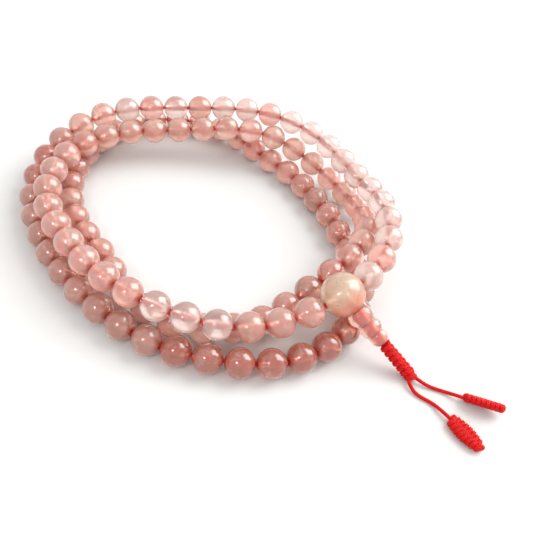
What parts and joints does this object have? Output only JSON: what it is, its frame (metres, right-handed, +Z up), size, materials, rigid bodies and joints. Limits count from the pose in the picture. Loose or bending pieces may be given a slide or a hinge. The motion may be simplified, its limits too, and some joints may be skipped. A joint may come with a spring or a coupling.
{
  "type": "mala prayer beads",
  "caption": "Rose quartz mala laid in three loose turns, with a guru bead, a tiered stupa bead, a knotted red stem and two corded tails.",
  "frame": {"origin": "on the table, under the middle of the plan box of the beads, the guru, the stupa and the stem", "axes": "+Z up from the table; +X towards the side where the tails lie, +Y to the side of the coil away from the tails"},
  "size_m": [0.1438, 0.1135, 0.021],
  "materials": {
    "rose_quartz": "polished, translucent",
    "guru_stone": "polished, cloudy beige",
    "clear_quartz": "polished, clear pink",
    "red_cord": "braided polyester"
  },
  "bodies": {
    "coil": {"stringing_cord": "red_cord", "beads_019_024": "rose_quartz", "beads_025_030": "rose_quartz", "beads_031_036": "rose_quartz", "beads_037_042": "rose_quartz", "beads_043_048": "rose_quartz", "beads_049_054": "rose_quartz", "beads_055_060": "rose_quartz", "beads_061_066": "rose_quartz", "beads_067_072": "rose_quartz", "beads_073_078": "rose_quartz", "beads_079_084": "rose_quartz", "beads_085_090": "rose_quartz"},
    "guru": {"guru_bead": "guru_stone", "cord_ends": "red_cord"},
    "stem": {"plait": "red_cord"},
    "upper_tail": {"upper_tail_cord": "red_cord", "upper_end_knot": "red_cord"},
    "lower_tail": {"lower_tail_cord": "red_cord", "lower_end_knot": "red_cord"},
    "stupa": {"stupa_bead": "clear_quartz"},
    "bead_001": {"bead_001": "rose_quartz"},
    "bead_002": {"bead_002": "rose_quartz"},
    "bead_003": {"bead_003": "rose_quartz"},
    "bead_004": {"bead_004": "rose_quartz"},
    "bead_005": {"bead_005": "rose_quartz"},
    "bead_006": {"bead_006": "rose_quartz"},
    "bead_007": {"bead_007": "rose_quartz"},
    "bead_008": {"bead_008": "rose_quartz"},
    "bead_009": {"bead_009": "rose_quartz"},
    "bead_010": {"bead_010": "rose_quartz"},
    "bead_011": {"bead_011": "rose_quartz"},
    "bead_012": {"bead_012": "rose_quartz"},
    "bead_013": {"bead_013": "rose_quartz"},
    "bead_014": {"bead_014": "rose_quartz"},
    "bead_015": {"bead_015": "rose_quartz"},
    "bead_016": {"bead_016": "rose_quartz"},
    "bead_017": {"bead_017": "rose_quartz"},
    "bead_018": {"bead_018": "rose_quartz"},
    "bead_091": {"bead_091": "rose_quartz"},
    "bead_092": {"bead_092": "rose_quartz"},
    "bead_093": {"bead_093": "rose_quartz"},
    "bead_094": {"bead_094": "rose_quartz"},
    "bead_095": {"bead_095": "rose_quartz"},
    "bead_096": {"bead_096": "rose_quartz"},
    "bead_097": {"bead_097": "rose_quartz"},
    "bead_098": {"bead_098": "rose_quartz"},
    "bead_099": {"bead_099": "rose_quartz"},
    "bead_100": {"bead_100": "rose_quartz"},
    "bead_101": {"bead_101": "rose_quartz"},
    "bead_102": {"bead_102": "rose_quartz"},
    "bead_103": {"bead_103": "rose_quartz"},
    "bead_104": {"bead_104": "rose_quartz"},
    "bead_105": {"bead_105": "rose_quartz"},
    "bead_106": {"bead_106": "rose_quartz"},
    "bead_107": {"bead_107": "rose_quartz"},
    "bead_108": {"bead_108": "rose_quartz"}
  },
  "joints": [
    {"name": "pendant_swing", "type": "hinge", "parent": "coil", "child": "guru", "pos_m": [0.03808, -0.03005, 0.01471], "axis": [-0.7074, -0.6841, -0.1779], "range_deg": [0, 150]},
    {"name": "stem_sway", "type": "hinge", "parent": "guru", "child": "stem", "pos_m": [0.05233, -0.03732, 0.00581], "axis": [0, 0, 1], "range_deg": [-20, 20]},
    {"name": "upper_tail_sway", "type": "hinge", "parent": "stem", "child": "upper_tail", "pos_m": [0.05864, -0.04053, 0.00187], "axis": [0, 0, 1], "range_deg": [-8, 40]},
    {"name": "lower_tail_sway", "type": "hinge", "parent": "stem", "child": "lower_tail", "pos_m": [0.05864, -0.04053, 0.00187], "axis": [0, 0, 1], "range_deg": [-35, 8]},
    {"name": "stupa_spin", "type": "hinge", "parent": "guru", "child": "stupa", "pos_m": [0.03808, -0.03005, 0.01471], "axis": [0.7787, -0.3968, -0.486], "continuous": true},
    {"name": "bead_001_spin", "type": "hinge", "parent": "coil", "child": "bead_001", "pos_m": [0.04443, -0.02248, 0.01568], "axis": [0.5178, 0.8552, -0.0243], "continuous": true},
    {"name": "bead_002_spin", "type": "hinge", "parent": "coil", "child": "bead_002", "pos_m": [0.04787, -0.01524, 0.01604], "axis": [0.3345, 0.9354, 0.1145], "continuous": true},
    {"name": "bead_003_spin", "type": "hinge", "parent": "coil", "child": "bead_003", "pos_m": [0.04963, -0.00746, 0.01681], "axis": [0.1006, 0.9921, 0.0748], "continuous": true},
    {"name": "bead_004_spin", "type": "hinge", "parent": "coil", "child": "bead_004", "pos_m": [0.04953, 0.00056, 0.01703], "axis": [-0.124, 0.9921, -0.0206], "continuous": true},
    {"name": "bead_005_spin", "type": "hinge", "parent": "coil", "child": "bead_005", "pos_m": [0.04768, 0.00834, 0.01643], "axis": [-0.3354, 0.9335, -0.1268], "continuous": true},
    {"name": "bead_006_spin", "type": "hinge", "parent": "coil", "child": "bead_006", "pos_m": [0.04419, 0.01548, 0.01528], "axis": [-0.5272, 0.8351, -0.1571], "continuous": true},
    {"name": "bead_007_spin", "type": "hinge", "parent": "coil", "child": "bead_007", "pos_m": [0.03987, 0.02224, 0.01444], "axis": [-0.5436, 0.8378, -0.0511], "continuous": true},
    {"name": "bead_008_spin", "type": "hinge", "parent": "coil", "child": "bead_008", "pos_m": [0.03522, 0.02883, 0.01439], "axis": [-0.6069, 0.7939, 0.038], "continuous": true},
    {"name": "bead_009_spin", "type": "hinge", "parent": "coil", "child": "bead_009", "pos_m": [0.02987, 0.03484, 0.01486], "axis": [-0.7171, 0.6925, 0.0786], "continuous": true},
    {"name": "bead_010_spin", "type": "hinge", "parent": "coil", "child": "bead_010", "pos_m": [0.02354, 0.03975, 0.01547], "axis": [-0.849, 0.5233, 0.0728], "continuous": true},
    {"name": "bead_011_spin", "type": "hinge", "parent": "coil", "child": "bead_011", "pos_m": [0.01629, 0.04317, 0.01595], "axis": [-0.9457, 0.3219, 0.0445], "continuous": true},
    {"name": "bead_012_spin", "type": "hinge", "parent": "coil", "child": "bead_012", "pos_m": [0.00846, 0.04496, 0.01615], "axis": [-0.9924, 0.1226, 0.0047], "continuous": true},
    {"name": "bead_013_spin", "type": "hinge", "parent": "coil", "child": "bead_013", "pos_m": [0.00042, 0.04522, 0.01599], "axis": [-0.9974, -0.0582, -0.0428], "continuous": true},
    {"name": "bead_014_spin", "type": "hinge", "parent": "coil", "child": "bead_014", "pos_m": [-0.00756, 0.04421, 0.01554], "axis": [-0.9788, -0.1927, -0.069], "continuous": true},
    {"name": "bead_015_spin", "type": "hinge", "parent": "coil", "child": "bead_015", "pos_m": [-0.0154, 0.04235, 0.01504], "axis": [-0.9618, -0.2681, -0.055], "continuous": true},
    {"name": "bead_016_spin", "type": "hinge", "parent": "coil", "child": "bead_016", "pos_m": [-0.02313, 0.04002, 0.01475], "axis": [-0.9512, -0.3081, -0.0164], "continuous": true},
    {"name": "bead_017_spin", "type": "hinge", "parent": "coil", "child": "bead_017", "pos_m": [-0.03073, 0.03728, 0.01465], "axis": [-0.9291, -0.3697, -0.0082], "continuous": true},
    {"name": "bead_018_spin", "type": "hinge", "parent": "coil", "child": "bead_018", "pos_m": [-0.03798, 0.03379, 0.01436], "axis": [-0.8674, -0.4933, -0.0647], "continuous": true},
    {"name": "bead_091_spin", "type": "hinge", "parent": "coil", "child": "bead_091", "pos_m": [-0.03517, 0.02723, 0.01044], "axis": [-0.8486, -0.528, 0.0337], "continuous": true},
    {"name": "bead_092_spin", "type": "hinge", "parent": "coil", "child": "bead_092", "pos_m": [-0.04139, 0.02218, 0.01078], "axis": [-0.6912, -0.7208, 0.0512], "continuous": true},
    {"name": "bead_093_spin", "type": "hinge", "parent": "coil", "child": "bead_093", "pos_m": [-0.04614, 0.01573, 0.01113], "axis": [-0.4838, -0.8745, 0.0345], "continuous": true},
    {"name": "bead_094_spin", "type": "hinge", "parent": "coil", "child": "bead_094", "pos_m": [-0.04908, 0.00828, 0.01125], "axis": [-0.2435, -0.9699, -0.004], "continuous": true},
    {"name": "bead_095_spin", "type": "hinge", "parent": "coil", "child": "bead_095", "pos_m": [-0.05001, 0.00032, 0.01109], "axis": [0.0143, -0.9992, -0.0362], "continuous": true},
    {"name": "bead_096_spin", "type": "hinge", "parent": "coil", "child": "bead_096", "pos_m": [-0.04886, -0.00761, 0.01079], "axis": [0.2703, -0.9621, -0.0361], "continuous": true},
    {"name": "bead_097_spin", "type": "hinge", "parent": "coil", "child": "bead_097", "pos_m": [-0.04575, -0.015, 0.01062], "axis": [0.4996, -0.8662, -0.0065], "continuous": true},
    {"name": "bead_098_spin", "type": "hinge", "parent": "coil", "child": "bead_098", "pos_m": [-0.04093, -0.02141, 0.01076], "axis": [0.6931, -0.7197, 0.04], "continuous": true},
    {"name": "bead_099_spin", "type": "hinge", "parent": "coil", "child": "bead_099", "pos_m": [-0.03531, -0.02721, 0.011], "axis": [0.6975, -0.7164, 0.0193], "continuous": true},
    {"name": "bead_100_spin", "type": "hinge", "parent": "coil", "child": "bead_100", "pos_m": [-0.02929, -0.03256, 0.01123], "axis": [0.7935, -0.6072, 0.0394], "continuous": true},
    {"name": "bead_101_spin", "type": "hinge", "parent": "coil", "child": "bead_101", "pos_m": [-0.02256, -0.03699, 0.01145], "axis": [0.8718, -0.4896, 0.0141], "continuous": true},
    {"name": "bead_102_spin", "type": "hinge", "parent": "coil", "child": "bead_102", "pos_m": [-0.01528, -0.04045, 0.01145], "axis": [0.9304, -0.3663, -0.0143], "continuous": true},
    {"name": "bead_103_spin", "type": "hinge", "parent": "coil", "child": "bead_103", "pos_m": [-0.0076, -0.04289, 0.01124], "axis": [0.9701, -0.2395, -0.0383], "continuous": true},
    {"name": "bead_104_spin", "type": "hinge", "parent": "coil", "child": "bead_104", "pos_m": [0.00034, -0.04426, 0.01095], "axis": [0.9945, -0.0996, -0.0333], "continuous": true},
    {"name": "bead_105_spin", "type": "hinge", "parent": "coil", "child": "bead_105", "pos_m": [0.00838, -0.04435, 0.01063], "axis": [0.9959, 0.078, -0.0462], "continuous": true},
    {"name": "bead_106_spin", "type": "hinge", "parent": "coil", "child": "bead_106", "pos_m": [0.01625, -0.04283, 0.0102], "axis": [0.953, 0.2974, -0.0586], "continuous": true},
    {"name": "bead_107_spin", "type": "hinge", "parent": "coil", "child": "bead_107", "pos_m": [0.02367, -0.03978, 0.01041], "axis": [0.8823, 0.4576, 0.1102], "continuous": true},
    {"name": "bead_108_spin", "type": "hinge", "parent": "coil", "child": "bead_108", "pos_m": [0.03052, -0.03605, 0.01225], "axis": [0.8152, 0.466, 0.3439], "continuous": true}
  ]
}
